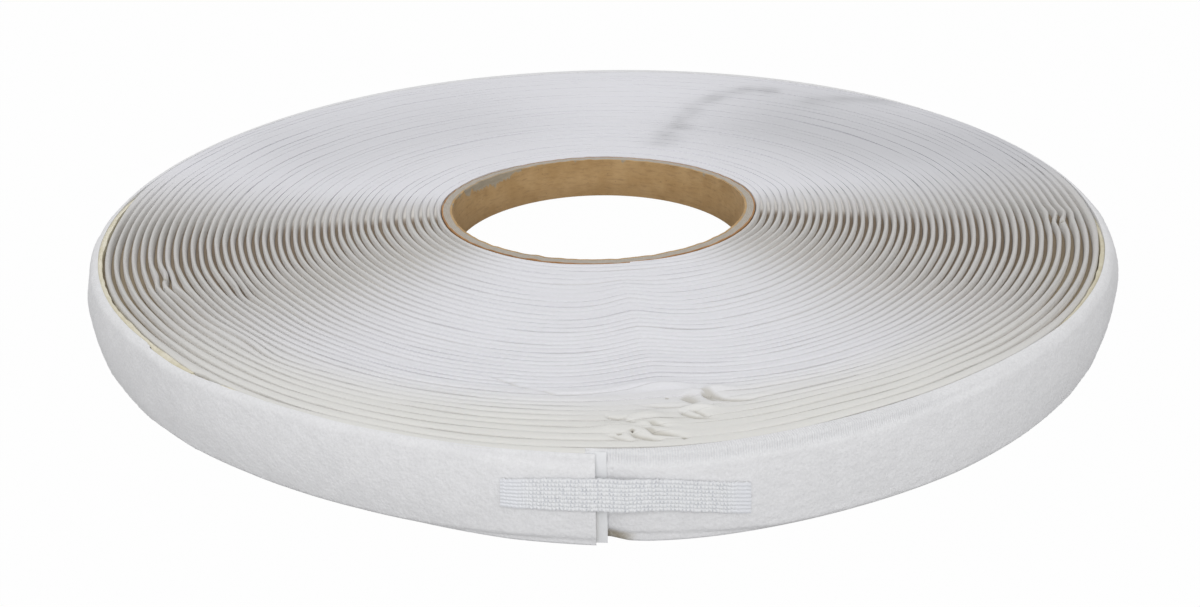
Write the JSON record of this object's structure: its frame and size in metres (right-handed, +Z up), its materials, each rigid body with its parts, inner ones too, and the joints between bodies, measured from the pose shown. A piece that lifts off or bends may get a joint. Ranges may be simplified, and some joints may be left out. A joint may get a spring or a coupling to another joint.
{
  "type": "hook and loop tape roll",
  "caption": "Flat roll of white self-adhesive loop tape wound on a paperboard core, its free end held by a short strip of hook tape that peels open.",
  "frame": {"origin": "middle of the roll's outline, on the surface it lies on", "axes": "+Z up along the core's axis, -Y to the front where the free end is held, +X to the right of someone facing the free end"},
  "size_m": [0.2468, 0.253, 0.016],
  "materials": {
    "kraft_paper": "matte brown kraft paper",
    "grey_board": "matte grey chipboard",
    "loop_fabric": "white brushed loop pile with woven edges",
    "adhesive": "tacky yellowish pressure-sensitive adhesive",
    "liner_film": "translucent white release film",
    "hook_weave": "white woven nylon with monofilament hooks"
  },
  "bodies": {
    "roll": {"core_inner_ply": "kraft_paper", "core_board": "grey_board", "core_outer_ply": "kraft_paper", "tape_inner_winding": "loop_fabric", "tape_outer_winding": "loop_fabric", "tape_outermost_turn": "loop_fabric"},
    "tail": {"tail_loop_fabric": "loop_fabric", "tail_adhesive_coat": "adhesive"},
    "liner": {"tail_release_liner": "liner_film"},
    "closure": {"closure_hook_strip": "hook_weave"}
  },
  "joints": [
    {"name": "tail_lift", "type": "hinge", "parent": "roll", "child": "tail", "pos_m": [-0.07709, -0.09509, 0], "axis": [0, 0, -1], "range_deg": [0, 65]},
    {"name": "liner_peel", "type": "hinge", "parent": "tail", "child": "liner", "pos_m": [-0.07622, -0.09399, 0], "axis": [0, 0, 1], "range_deg": [0, 35]},
    {"name": "closure_peel", "type": "hinge", "parent": "tail", "child": "closure", "pos_m": [-0.01742, -0.1242, 0], "axis": [0, 0, -1], "range_deg": [0, 120]}
  ],
  "couplings": [
    {"joint": "liner_peel", "follows": "tail_lift", "ratio": 0.5}
  ]
}
